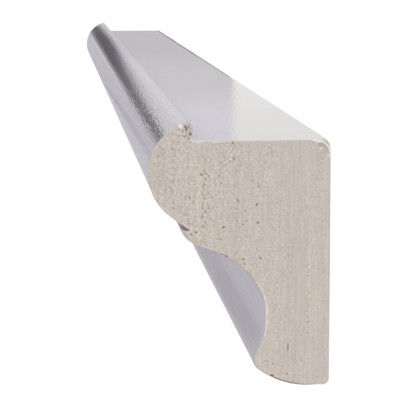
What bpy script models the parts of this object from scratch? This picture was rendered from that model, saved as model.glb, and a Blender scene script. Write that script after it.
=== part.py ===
"""A length of light rail moulding, the painted wood trim fixed under a wall cabinet.

The rail runs along X. Its bead faces -Y, its flat back faces +Y, and its flat top, which goes
against the cabinet, lies at Z = 0. The origin is the middle of that flat top. The section is
worked out in metres as (depth, height): depth is measured forward from the back, and height is
measured up from the flat top, so everything but the lip is at a negative height.
"""

import math

import bmesh
import bpy
from mathutils import Matrix, Vector

# Overall sizes
LENGTH = 0.610
DEPTH = 0.0381
HEIGHT = 0.052

# Flat top, with the bead standing in front of it as a lip
TOP_FLAT = 0.0289
LIP_BASE_FILLET = 0.0005
LIP_EDGE_RADIUS = 0.0005
BACK_TOP_RADIUS = 0.0007
BACK_FOOT_RADIUS = 0.0013

# Bead along the front, with a straight run under it back to the quirk
BEAD_RADIUS = 0.0112
BEAD_DROP = 0.0068
UNDERCUT_SLOPE = math.radians(36.2)
QUIRK_SETBACK = 0.0086

# Nose under the quirk
NOSE_SETBACK = 0.0070
NOSE_DROP = 0.0191
NOSE_TIP_RADIUS = 0.0004
NOSE_BELLY_RADIUS = 0.00485
NOSE_TIP_TURN = math.radians(-27.0)

# Cove between the nose and the foot
COVE_WALL = 0.0134
COVE_DROP = 0.0363
COVE_TOP_SLOPE = math.radians(18.0)
COVE_FULLNESS = 0.503

# Foot
FOOT_REACH = 0.0162
FOOT_RISE = 0.00565
FOOT_TIP_RADIUS = 0.00255
FOOT_TIP_TURN = math.radians(30.0)
FOOT_UNDER_RADIUS = 0.0177

# Longest facet along a curve, and the fewest facets on one
FACET = 0.0005
FEWEST_FACETS = 3

NODE_NAME = "light_rail"
PAINT_COLOR = (0.53, 0.50, 0.52, 1.0)
PAINT_ROUGHNESS = 0.38
SMOOTH_BELOW = math.radians(24.0)


def direction(angle):
    """Unit vector in the section at an angle from forward, turning up."""
    return Vector((math.cos(angle), math.sin(angle)))


def arc(centre, radius, start, end):
    """Points on a circle from one angle to another, both ends included."""
    steps = max(FEWEST_FACETS, math.ceil(radius * abs(end - start) / FACET))
    return [
        centre + radius * direction(start + (end - start) * step / steps)
        for step in range(steps + 1)
    ]


def cubic(start, start_handle, end_handle, end):
    """Points on a cubic curve, both ends included."""
    steps = max(FEWEST_FACETS, math.ceil((end - start).length / FACET))
    points = []
    for step in range(steps + 1):
        t = step / steps
        points.append(
            start * (1 - t) ** 3
            + start_handle * (3 * t * (1 - t) ** 2)
            + end_handle * (3 * t * t * (1 - t))
            + end * t ** 3
        )
    return points


def back_edge():
    """Back face, from its rounded foot up to its rounded top arris."""
    foot = Vector((BACK_FOOT_RADIUS, BACK_FOOT_RADIUS - HEIGHT))
    top = Vector((BACK_TOP_RADIUS, -BACK_TOP_RADIUS))
    return arc(foot, BACK_FOOT_RADIUS, math.radians(270), math.radians(180)) + arc(
        top, BACK_TOP_RADIUS, math.radians(180), math.radians(90)
    )


def lip_and_bead():
    """Fillet at the lip's base, its inner wall, then the bead down to the undercut."""
    bead = Vector((DEPTH - BEAD_RADIUS, -BEAD_DROP))
    fillet = Vector((TOP_FLAT - LIP_BASE_FILLET, LIP_BASE_FILLET))
    edge_depth = TOP_FLAT + LIP_EDGE_RADIUS
    reach = BEAD_RADIUS - LIP_EDGE_RADIUS
    edge_height = bead.y + math.sqrt(reach ** 2 - (edge_depth - bead.x) ** 2)
    edge = Vector((edge_depth, edge_height))
    bead_start = math.atan2(edge.y - bead.y, edge.x - bead.x)
    bead_end = UNDERCUT_SLOPE - math.radians(90)
    return (
        arc(fillet, LIP_BASE_FILLET, math.radians(-90), 0.0)
        + arc(edge, LIP_EDGE_RADIUS, math.radians(180), bead_start)
        + arc(bead, BEAD_RADIUS, bead_start, bead_end)[1:]
    )


def quirk(bead_end):
    """Inner corner where the bead's undercut runs in to meet the nose."""
    depth = DEPTH - QUIRK_SETBACK
    fall = (bead_end.x - depth) * math.tan(UNDERCUT_SLOPE)
    return Vector((depth, bead_end.y - fall))


def nose(corner):
    """Upper face of the nose from the quirk, its tip, and its belly down to the cove."""
    tip = Vector((DEPTH - NOSE_SETBACK - NOSE_TIP_RADIUS, -NOSE_DROP))
    belly = tip - (NOSE_BELLY_RADIUS - NOSE_TIP_RADIUS) * direction(NOSE_TIP_TURN)
    to_tip = tip - corner
    half_angle = math.asin(NOSE_TIP_RADIUS / to_tip.length)
    tip_start = math.atan2(to_tip.y, to_tip.x) + half_angle + math.radians(90)
    belly_end = COVE_TOP_SLOPE - math.radians(90)
    return (
        arc(tip, NOSE_TIP_RADIUS, tip_start, NOSE_TIP_TURN)
        + arc(belly, NOSE_BELLY_RADIUS, NOSE_TIP_TURN, belly_end)[1:]
    )


def cove(top, foot_start):
    """Hollow from the nose in to the thinnest wall, and out again to the foot."""
    wall = Vector((COVE_WALL, -COVE_DROP))
    width = top.x - wall.x
    rise = top.y - wall.y
    fall = wall.y - foot_start.y
    into_cove = direction(COVE_TOP_SLOPE + math.radians(180))
    off_foot = direction(FOOT_TIP_TURN + math.radians(90))
    upper = cubic(
        top,
        top + COVE_FULLNESS * width * into_cove,
        wall + Vector((0.0, COVE_FULLNESS * rise)),
        wall,
    )
    lower = cubic(
        wall,
        wall - Vector((0.0, COVE_FULLNESS * fall)),
        foot_start + COVE_FULLNESS * fall * off_foot,
        foot_start,
    )
    return upper[1:] + lower[1:]


def foot():
    """Rounded tip of the foot and the long curve under it, down to the flat underside."""
    tip = Vector((FOOT_REACH - FOOT_TIP_RADIUS, FOOT_RISE - HEIGHT))
    between = FOOT_UNDER_RADIUS - FOOT_TIP_RADIUS
    under_height = FOOT_UNDER_RADIUS - HEIGHT
    under_depth = tip.x - math.sqrt(between ** 2 - (tip.y - under_height) ** 2)
    under = Vector((under_depth, under_height))
    join = math.atan2(tip.y - under.y, tip.x - under.x)
    return (
        arc(tip, FOOT_TIP_RADIUS, FOOT_TIP_TURN, join)
        + arc(under, FOOT_UNDER_RADIUS, join, math.radians(-90))[1:]
    )


def section():
    """Whole outline, once round, from the underside up the back and down the front."""
    front = lip_and_bead()
    corner = quirk(front[-1])
    under_nose = nose(corner)
    base = foot()
    hollow = cove(under_nose[-1], base[0])
    return back_edge() + front + [corner] + under_nose + hollow + base[1:]


def paint():
    """Cool light grey satin paint."""
    material = bpy.data.materials.new("satin_paint")
    material.use_nodes = True
    shader = material.node_tree.nodes["Principled BSDF"]
    shader.inputs["Base Color"].default_value = PAINT_COLOR
    shader.inputs["Roughness"].default_value = PAINT_ROUGHNESS
    shader.inputs["Metallic"].default_value = 0.0
    return material


def light_rail():
    """The rail: its section drawn at one end and extruded to the other."""
    half_flat = TOP_FLAT / 2
    shape = bmesh.new()
    corners = [
        shape.verts.new((-LENGTH / 2, half_flat - point.x, point.y))
        for point in section()
    ]
    end_face = shape.faces.new(corners)
    grown = bmesh.ops.extrude_face_region(shape, geom=[end_face])
    far_corners = [item for item in grown["geom"] if isinstance(item, bmesh.types.BMVert)]
    bmesh.ops.translate(shape, vec=(LENGTH, 0.0, 0.0), verts=far_corners)
    bmesh.ops.recalc_face_normals(shape, faces=shape.faces)
    mesh = bpy.data.meshes.new(NODE_NAME)
    shape.to_mesh(mesh)
    shape.free()
    mesh.shade_smooth()
    mesh.set_sharp_from_angle(angle=SMOOTH_BELOW)
    mesh.materials.append(paint())
    rail = bpy.data.objects.new(NODE_NAME, mesh)
    rail.matrix_world = Matrix.Identity(4)
    bpy.context.scene.collection.objects.link(rail)
    return rail


def clear_scene():
    """Remove whatever the open file holds."""
    for item in list(bpy.data.objects):
        bpy.data.objects.remove(item, do_unlink=True)


clear_scene()
light_rail()
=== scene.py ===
"""Looks of a painted light rail moulding with sawn ends, dressed around its solid.

The rail runs along X with its near sawn end at +X, its bead towards -Y, its flat back at +Y and
its flat top at Z = 0. The section is worked out as (depth, height): depth forward from the back,
height up from the flat top.
"""

import math

import bpy
import numpy as np
from mathutils import Matrix, Vector, kdtree, noise


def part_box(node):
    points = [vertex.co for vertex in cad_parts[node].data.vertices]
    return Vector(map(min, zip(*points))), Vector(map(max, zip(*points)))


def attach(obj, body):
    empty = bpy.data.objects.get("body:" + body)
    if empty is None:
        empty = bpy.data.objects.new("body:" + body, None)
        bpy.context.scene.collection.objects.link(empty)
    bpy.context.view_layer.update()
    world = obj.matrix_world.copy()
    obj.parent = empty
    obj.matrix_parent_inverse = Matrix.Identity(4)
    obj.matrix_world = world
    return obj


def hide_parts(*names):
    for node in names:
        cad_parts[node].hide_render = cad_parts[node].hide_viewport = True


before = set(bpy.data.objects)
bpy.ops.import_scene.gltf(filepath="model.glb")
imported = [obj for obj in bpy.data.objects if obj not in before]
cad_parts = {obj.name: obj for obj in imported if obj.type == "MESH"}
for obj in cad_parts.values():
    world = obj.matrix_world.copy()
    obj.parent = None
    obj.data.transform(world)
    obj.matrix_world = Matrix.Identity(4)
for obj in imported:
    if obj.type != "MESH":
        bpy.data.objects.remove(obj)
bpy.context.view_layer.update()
RAIL_LOW, RAIL_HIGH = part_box("light_rail")

bl_info = {
    "name": "Light rail moulding",
    "version": (1, 0, 0),
    "blender": (4, 5, 0),
    "location": "View3D > Sidebar > Light rail",
    "description": "Draws a painted light rail moulding with worn, sawn ends",
    "category": "Add Mesh",
}

NODE = "light_rail"
PIECE = "painted_rail"
MM = 0.001
SEED = 7

# Width of the flat top, the lip's inner wall at its edge, the line of the quirk's corner, where the
# worn far part of the back top arris starts, and the ease of the far end's arris
TOP_FLAT = 28.9 * MM
LIP_WALL = RAIL_HIGH[1] - TOP_FLAT
# The quirk's painted light lies along this line.
QUIRK_LINE = (RAIL_HIGH[1] - 29.3 * MM, -18.1 * MM)
FAR_ARRIS = 70.0 * MM
FAR_EASE = 0.25 * MM

# Studio light: the room's strength, the key's strength and spread, and where the key shines from
ROOM_LIGHT = 0.7
KEY_LIGHT = 1.6
KEY_SPREAD = math.radians(50)
KEY_FROM = (0.5, -0.5, 0.75)

# The camera's sensor in millimetres, the floor's width, and the backdrop's radius and glow
SENSOR_WIDTH = 36.0
FLOOR_WIDTH = 60.0
BACKDROP_RADIUS = 28.0
BACKDROP_GLOW = 1.1

# Cards seen in the paint: name, glow, tint, distance, and corners as directions in degrees from the
# near end, first towards the bead's side and then above the level
CARDS = (
    ("dark_card", 0.0, (1.0, 1.0, 1.0), 19.8,
     ((6.4, 0.5), (6.4, 3.4), (3.4, 2.85), (1.7, 3.15), (0.9, 2.9),
      (1.5, 1.5), (2.5, 0.9), (4.5, 1.1), (5.6, 0.9))),
    ("shade_card", 0.24, (0.96, 0.945, 1.10), 20.0,
     ((6.6, -0.4), (6.6, 3.5), (2.4, 3.5), (0.4, 3.4), (0.1, 2.8), (1.9, 0.1), (4.5, 0.4), (5.8, 0.4))),
    ("side_card", 0.43, (1.0, 0.96, 1.0), 20.0, ((60.0, 1.0), (60.0, 12.0), (6.6, 3.5), (6.6, -0.4))),
    ("upper_card", 0.60, (1.0, 0.968, 1.06), 20.0,
     ((6.6, 3.5), (9.0, 4.5), (2.0, 4.2), (0.3, 3.35), (2.4, 3.4))),
    ("white_card", 0.97, (1.0, 0.99, 0.955), 20.0,
     ((-5.54, 0.5), (-5.54, 14.0), (-40.0, 14.0), (-40.0, 0.5))),
    ("strip_card", 0.54, (1.0, 0.968, 1.07), 20.0, ((0.4, 2.6), (0.4, 3.7), (-0.8, 3.9), (-0.8, 2.4))),
    ("dim_card", 0.56, (1.0, 0.96, 1.02), 20.0, ((-1.5, 0.5), (-1.5, 3.0), (-5.54, 3.0), (-5.54, 0.5))),
    ("grey_card", 0.66, (0.995, 0.97, 1.005), 20.0, ((-0.8, 3.0), (-0.8, 4.2), (-5.54, 4.2), (-5.54, 3.0))),
    ("pale_card", 0.80, (0.995, 0.968, 1.04), 20.0, ((1.5, 4.2), (1.5, 14.0), (-5.54, 14.0), (-5.54, 4.2))),
    ("front_card", 0.53, (0.995, 0.965, 1.07), 6.0,
     ((60.0, -2.5), (60.0, 3.5), (9.0, -0.1), (1.8, -0.1), (-0.5, -0.1), (-0.5, -2.5))),
    ("band_card", 0.42, (0.975, 0.96, 1.08), 5.9,
     ((0.5, -4.7), (0.5, -4.1), (3.0, -3.35), (4.6, -2.75),
      (6.2, -2.2), (6.4, -3.0), (4.8, -3.7), (3.2, -4.25))),
    ("low_card", 0.51, (0.99, 0.965, 1.05), 6.0, ((60.0, -4.3), (60.0, -2.5), (-0.5, -2.5), (-0.5, -4.3))),
)

# Card just over the floor, for the faces that look down: glow, tint, and corners in metres
FLOOR_CARD_GLOW = 0.57
FLOOR_CARD_TINT = (1.0, 0.965, 1.055)
FLOOR_CARD_CORNERS = ((-6.0, -1.8), (-0.9, -1.8), (-0.9, 0.05), (-6.0, 0.05))

# Wear of the near end's arris in millimetres: place, depth and height there, radius, share of paint
# left on the worn band, where the rest shows pale torn fibres
ARRIS = (
    ("top", 16.0, 0.0, 0.12, 0.0),
    ("top_back", 4.0, 0.0, 0.10, 0.7),
    ("back_corner", 0.5, -0.5, 0.35, 0.2),
    ("back_high", 0.0, -6.0, 0.12, 0.9),
    ("back", 0.0, -26.0, 0.14, 0.7),
    ("back_foot", 0.4, -51.6, 0.30, 0.3),
    ("underside", 6.0, -52.0, 0.16, 0.5),
    ("foot", 15.8, -47.0, 0.26, 1.0),
    ("cove", 13.4, -36.0, 0.28, 0.0),
    ("belly", 26.0, -22.5, 0.22, 0.2),
    ("nose", 30.8, -19.2, 0.60, 1.0),
    ("quirk", 29.3, -18.1, 0.16, 0.3),
    ("undercut", 33.5, -15.9, 0.28, 0.5),
    ("bead", 38.0, -6.8, 0.12, 0.8),
    ("crest", 33.5, 2.2, 0.16, 0.7),
    ("lip", 30.4, 4.0, 0.55, 0.8),
    ("lip_back", 28.9, 1.5, 0.40, 0.1),
)

# Single open pores in the near end, in millimetres: depth, height, half width, half height, darkness, which
# stands partly for painted shade down in the pit
PORES = (
    (20.5, -0.4, 0.16, 0.20, 0.7), (20.3, -3.8, 0.16, 0.26, 0.6), (23.9, -1.7, 0.14, 0.18, 0.4),
    (27.1, -7.1, 0.24, 0.16, 0.6), (26.7, -9.4, 0.15, 0.18, 0.5), (26.1, -12.0, 0.15, 0.2, 0.35),
    (26.1, -14.8, 0.15, 0.2, 0.55), (30.3, -15.3, 0.14, 0.18, 0.5), (29.8, -15.4, 0.14, 0.18, 0.5),
    (19.3, -12.7, 0.2, 0.18, 0.6), (15.4, -13.4, 0.18, 0.2, 1.0), (15.2, -17.2, 0.18, 0.2, 1.0),
    (22.4, -18.1, 0.19, 0.2, 0.9), (28.2, -19.1, 0.16, 0.18, 0.8), (29.2, -19.6, 0.14, 0.16, 0.7),
    (14.6, -24.7, 0.18, 0.16, 0.6), (18.2, -24.9, 0.2, 0.17, 0.65), (18.0, -26.0, 0.16, 0.16, 0.5),
    (8.6, -24.4, 0.14, 0.16, 0.4), (8.7, -43.8, 0.09, 0.75, 0.8), (5.9, -46.8, 0.15, 0.15, 0.5),
    (12.0, -47.3, 0.13, 0.15, 0.6), (8.9, -49.5, 0.17, 0.14, 0.5), (25.5, -7.3, 0.18, 0.15, 0.5),
    (23.3, -7.4, 0.16, 0.14, 0.5), (30.15, 2.4, 0.13, 0.45, 1.2), (30.35, 2.9, 0.14, 0.3, 0.8),
    (29.25, 1.45, 0.28, 0.32, 1.1), (29.7, 2.9, 0.14, 0.22, 0.7), (21.95, -24.3, 0.34, 0.2, 1.2),
    (22.9, -23.8, 0.4, 0.1, 0.6), (12.15, -49.85, 0.28, 0.22, 1.3), (30.9, 2.0, 0.13, 0.2, 0.7),
    (29.6, 0.6, 0.14, 0.2, 0.7), (30.5, 0.9, 0.13, 0.18, 0.6), (31.6, 2.4, 0.13, 0.16, 0.5),
)

# White flakes of paint left on the near end, in millimetres: depth, height, half width, half height
FLAKES = (
    (31.35, 3.0, 0.26, 0.4), (31.7, 3.4, 0.3, 0.2), (0.25, -3.3, 0.16, 0.25), (1.9, -1.75, 0.4, 0.13),
    (2.6, -0.35, 0.5, 0.16), (3.3, -0.1, 0.5, 0.12),
)

# Rows of small pores up the near end, in millimetres: depth, bottom, top, spread, pores, strength
PORE_ROWS = (
    (11.3, -42.0, -29.0, 0.7, 16, 0.35), (4.5, -50.0, -23.0, 0.15, 26, 0.4),
    (8.4, -36.0, -22.0, 0.6, 12, 0.3), (15.3, -24.0, -4.0, 0.6, 18, 0.4),
    (19.6, -28.0, -1.0, 0.9, 26, 0.4), (22.8, -22.0, -1.0, 0.8, 22, 0.4),
    (26.4, -20.0, 2.0, 0.8, 30, 0.5), (29.8, -17.0, 3.5, 0.9, 30, 0.5),
    (30.3, -1.0, 3.0, 2.4, 14, 0.55), (28.0, -18.5, -12.0, 6.0, 26, 0.6), (21.0, -21.0, -14.0, 8.0, 18, 0.5),
    (33.0, -14.0, 1.5, 1.1, 26, 0.4), (35.8, -12.0, -2.0, 0.8, 14, 0.35),
    (13.4, -50.0, -46.0, 1.6, 8, 0.35), (2.0, -12.0, -1.5, 0.9, 12, 0.35),
)

# Chips broken out at the near end, in millimetres: place, depth, height, distance out from the end,
# radius, share of bare wood shown
CHIPS = (
    ("foot_edge", 12.25, -50.35, 0.10, 0.50, 0.0),
    ("lip_front", 31.2, 4.1, 0.15, 0.70, 0.0),
    ("lip_back", 28.7, 2.3, 0.15, 0.85, 0.1),
    ("lip_top", 29.6, 4.3, 0.25, 0.85, 0.1),
    ("cove_edge", 21.9, -24.9, 0.20, 0.45, 0.0),
    ("back_low", 0.0, -14.2, 0.15, 0.35, 0.0),
)


class RailSection(bpy.types.PropertyGroup):
    """Sizes of the rail's section."""

    top_flat: bpy.props.FloatProperty(
        name="Top flat", description="Width of the flat top, from the back to the lip's inner wall",
        default=TOP_FLAT, unit="LENGTH", subtype="DISTANCE")
    lip_fillet: bpy.props.FloatProperty(
        name="Lip fillet", description="Radius at the base of the lip's inner wall",
        default=0.5 * MM, unit="LENGTH", subtype="DISTANCE")
    lip_edge: bpy.props.FloatProperty(
        name="Lip edge", description="Radius on the lip's inner top edge",
        default=0.5 * MM, unit="LENGTH", subtype="DISTANCE")
    back_top: bpy.props.FloatProperty(
        name="Back top arris", description="Radius on the arris between back and top",
        default=0.7 * MM, unit="LENGTH", subtype="DISTANCE")
    back_foot: bpy.props.FloatProperty(
        name="Back foot arris", description="Radius on the arris between back and underside",
        default=1.3 * MM, unit="LENGTH", subtype="DISTANCE")
    bead: bpy.props.FloatProperty(
        name="Bead", description="Radius of the bead",
        default=11.2 * MM, unit="LENGTH", subtype="DISTANCE")
    bead_drop: bpy.props.FloatProperty(
        name="Bead drop", description="How far the bead's centre lies below the flat top",
        default=6.8 * MM, unit="LENGTH", subtype="DISTANCE")
    undercut: bpy.props.FloatProperty(
        name="Undercut slope", description="Slope of the straight run under the bead",
        default=math.radians(36.2), subtype="ANGLE")
    quirk_setback: bpy.props.FloatProperty(
        name="Quirk setback", description="How far the quirk's corner lies behind the bead's front",
        default=8.6 * MM, unit="LENGTH", subtype="DISTANCE")
    nose_setback: bpy.props.FloatProperty(
        name="Nose setback", description="How far the nose lies behind the bead's front",
        default=7.0 * MM, unit="LENGTH", subtype="DISTANCE")
    nose_drop: bpy.props.FloatProperty(
        name="Nose drop", description="How far the nose's tip lies below the flat top",
        default=19.1 * MM, unit="LENGTH", subtype="DISTANCE")
    nose_tip: bpy.props.FloatProperty(
        name="Nose tip", description="Radius of the nose's tip",
        default=0.4 * MM, unit="LENGTH", subtype="DISTANCE")
    nose_belly: bpy.props.FloatProperty(
        name="Nose belly", description="Radius of the nose's underside",
        default=4.85 * MM, unit="LENGTH", subtype="DISTANCE")
    nose_turn: bpy.props.FloatProperty(
        name="Nose turn", description="Angle at which the nose's tip meets its underside",
        default=math.radians(-27.0), subtype="ANGLE")
    cove_wall: bpy.props.FloatProperty(
        name="Cove wall", description="Thickness from the back to the deepest line of the cove",
        default=13.4 * MM, unit="LENGTH", subtype="DISTANCE")
    cove_drop: bpy.props.FloatProperty(
        name="Cove drop", description="How far the cove's deepest line lies below the flat top",
        default=36.3 * MM, unit="LENGTH", subtype="DISTANCE")
    cove_slope: bpy.props.FloatProperty(
        name="Cove top slope", description="Slope at which the nose runs into the cove",
        default=math.radians(18.0), subtype="ANGLE")
    cove_fullness: bpy.props.FloatProperty(
        name="Cove fullness", description="How full the cove's curves are, from 0 to 1",
        default=0.503, subtype="FACTOR")
    foot_reach: bpy.props.FloatProperty(
        name="Foot reach", description="Depth from the back to the tip of the foot",
        default=16.2 * MM, unit="LENGTH", subtype="DISTANCE")
    foot_rise: bpy.props.FloatProperty(
        name="Foot rise", description="Height of the foot's tip above the underside",
        default=5.65 * MM, unit="LENGTH", subtype="DISTANCE")
    foot_tip: bpy.props.FloatProperty(
        name="Foot tip", description="Radius of the foot's tip",
        default=2.55 * MM, unit="LENGTH", subtype="DISTANCE")
    foot_turn: bpy.props.FloatProperty(
        name="Foot turn", description="Angle at which the cove meets the foot's tip",
        default=math.radians(30.0), subtype="ANGLE")
    foot_under: bpy.props.FloatProperty(
        name="Foot underside", description="Radius of the long curve under the foot",
        default=17.7 * MM, unit="LENGTH", subtype="DISTANCE")
    spacing: bpy.props.FloatProperty(
        name="Spacing", description="Distance between points along the section's outline",
        default=0.2 * MM, unit="LENGTH", subtype="DISTANCE")
    grid: bpy.props.FloatProperty(
        name="End grid", description="Size of the small squares on the near sawn end",
        default=0.19 * MM, unit="LENGTH", subtype="DISTANCE")


class RailFinish(bpy.types.PropertyGroup):
    """Colours and gloss of the rail."""

    paint: bpy.props.FloatVectorProperty(
        name="Paint", description="Colour of the paint on the long faces",
        default=(0.352, 0.322, 0.355), size=3, min=0.0, max=1.0, subtype="COLOR")
    paint_roughness: bpy.props.FloatProperty(
        name="Paint roughness", description="Roughness of the satin paint",
        default=0.048, min=0.0, max=1.0, subtype="FACTOR")
    end_grain: bpy.props.FloatVectorProperty(
        name="End grain", description="Colour of the sealed end grain",
        default=(0.477, 0.426, 0.389), size=3, min=0.0, max=1.0, subtype="COLOR")
    grain_cool: bpy.props.FloatVectorProperty(
        name="Cool end grain", description="Cooler, pinker patches of the end grain",
        default=(0.477, 0.421, 0.404), size=3, min=0.0, max=1.0, subtype="COLOR")
    grain_warm: bpy.props.FloatVectorProperty(
        name="Warm end grain", description="Warmer, yellower patches of the end grain",
        default=(0.487, 0.436, 0.374), size=3, min=0.0, max=1.0, subtype="COLOR")
    # Also the colour of the painted shade lines on the near end; a pore's darkness is partly painted shade
    # down in the pit.
    pore_and_shade: bpy.props.FloatVectorProperty(
        name="Pore", description="Colour down in an open pore",
        default=(0.13, 0.08, 0.055), size=3, min=0.0, max=1.0, subtype="COLOR")
    halo: bpy.props.FloatVectorProperty(
        name="Pore rim", description="Colour of the torn fibres round a pore",
        default=(0.74, 0.66, 0.58), size=3, min=0.0, max=1.0, subtype="COLOR")
    bare_wood: bpy.props.FloatVectorProperty(
        name="Bare wood", description="Colour of wood where the paint has broken away",
        default=(0.62, 0.47, 0.34), size=3, min=0.0, max=1.0, subtype="COLOR")
    paint_light: bpy.props.FloatVectorProperty(
        name="Light paint", description="Colour of the paint where it lies thickest",
        default=(0.366, 0.335, 0.368), size=3, min=0.0, max=1.0, subtype="COLOR")
    paint_edge: bpy.props.FloatVectorProperty(
        name="Paint edge", description="Colour of the broken edge of the paint",
        default=(0.78, 0.74, 0.72), size=3, min=0.0, max=1.0, subtype="COLOR")
    flake: bpy.props.FloatVectorProperty(
        name="Paint flake", description="Colour of a white flake of undercoat",
        default=(0.86, 0.83, 0.80), size=3, min=0.0, max=1.0, subtype="COLOR")
    # Also the tint of the painted shade on the top of the cove next to the near end.
    lip_wear_and_shade: bpy.props.FloatVectorProperty(
        name="Worn lip", description="Colour of the rubbed edge along the lip",
        default=(0.36, 0.30, 0.31), size=3, min=0.0, max=1.0, subtype="COLOR")
    worn_arris: bpy.props.FloatVectorProperty(
        name="Worn arris", description="Colour of the dirty wood along the far back arris",
        default=(0.13, 0.10, 0.085), size=3, min=0.0, max=1.0, subtype="COLOR")
    rubbed_paint: bpy.props.FloatVectorProperty(
        name="Rubbed paint", description="Colour of the dulled paint beside that wood",
        default=(0.42, 0.39, 0.40), size=3, min=0.0, max=1.0, subtype="COLOR")
    # A colour paler than the paint, painted along the quirk as painted light to lift the shade there, on
    # duller paint.
    quirk_light_paint: bpy.props.FloatVectorProperty(
        name="Pooled paint", description="Colour of the dull paint that has run into the quirk",
        default=(0.45, 0.395, 0.40), size=3, min=0.0, max=1.0, subtype="COLOR")


class RailWear(bpy.types.PropertyGroup):
    """How far the near end is worn and open-grained."""

    arris: bpy.props.FloatProperty(
        name="Arris wear", description="Scale of the worn radius round the near sawn end",
        default=1.0, min=0.0, subtype="FACTOR")
    unevenness: bpy.props.FloatProperty(
        name="Unevenness", description="How much the worn radius varies along the arris",
        default=0.4, min=0.0, max=1.0, subtype="FACTOR")
    corner_round: bpy.props.FloatProperty(
        name="Corner wear", description="Radius worn on the back top corner at the near end",
        default=2.7 * MM, unit="LENGTH", subtype="DISTANCE")
    corner_run: bpy.props.FloatProperty(
        name="Corner run", description="How far that wear runs along the back top arris",
        default=12.0 * MM, unit="LENGTH", subtype="DISTANCE")
    lip_round: bpy.props.FloatProperty(
        name="Lip wear", description="Radius worn on the lip's inner top edge at the near end",
        default=1.5 * MM, unit="LENGTH", subtype="DISTANCE")
    lip_run: bpy.props.FloatProperty(
        name="Lip run", description="How far that wear runs along the lip",
        default=22.0 * MM, unit="LENGTH", subtype="DISTANCE")
    pore_depth: bpy.props.FloatProperty(
        name="Pore depth", description="Depth of a dark open pore",
        default=0.35 * MM, unit="LENGTH", subtype="DISTANCE")
    fibre: bpy.props.FloatProperty(
        name="Fibre height", description="Height of the sawn fibres on the end grain",
        default=0.03 * MM, unit="LENGTH", subtype="DISTANCE")


class RailStage(bpy.types.PropertyGroup):
    """Camera, floor and light."""

    camera_place: bpy.props.FloatVectorProperty(
        name="Camera place", description="Where the camera stands",
        default=(0.6975, -0.0441, 0.0375), size=3, unit="LENGTH", subtype="TRANSLATION")
    camera_turn: bpy.props.FloatProperty(
        name="Camera turn", description="Turn of the camera from straight along the rail towards its back",
        default=math.radians(4.786), subtype="ANGLE")
    camera_dip: bpy.props.FloatProperty(
        name="Camera dip", description="How far the camera looks down",
        default=math.radians(7.451), subtype="ANGLE")
    camera_roll: bpy.props.FloatProperty(
        name="Camera roll", description="Roll of the camera about its own axis",
        default=math.radians(-0.04), subtype="ANGLE")
    camera_lens: bpy.props.FloatProperty(
        name="Lens", description="Focal length on a 36 mm sensor, in millimetres",
        default=165.2, subtype="NONE")
    floor_drop: bpy.props.FloatProperty(
        name="Floor drop", description="How far the floor lies below the flat top",
        default=0.45, unit="LENGTH", subtype="DISTANCE")


def direction(angle):
    """Unit vector in the section at an angle from forward, turning up."""
    return Vector((math.cos(angle), math.sin(angle)))


def line(start, end, spacing):
    """Evenly spaced points on a straight run, both ends included."""
    steps = max(1, round((end - start).length / spacing))
    return [start.lerp(end, step / steps) for step in range(steps + 1)]


def arc(centre, radius, start, end, spacing):
    """Evenly spaced points on a circle from one angle to another, both ends included."""
    steps = max(3, round(radius * abs(end - start) / spacing))
    return [centre + radius * direction(start + (end - start) * step / steps) for step in range(steps + 1)]


def cubic(start, start_handle, end_handle, end, spacing):
    """Points on a cubic curve, both ends included."""
    steps = max(3, round(1.1 * (end - start).length / spacing))
    points = []
    for step in range(steps + 1):
        t = step / steps
        points.append(
            start * (1 - t) ** 3
            + start_handle * (3 * t * (1 - t) ** 2)
            + end_handle * (3 * t * t * (1 - t))
            + end * t ** 3
        )
    return points


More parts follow.
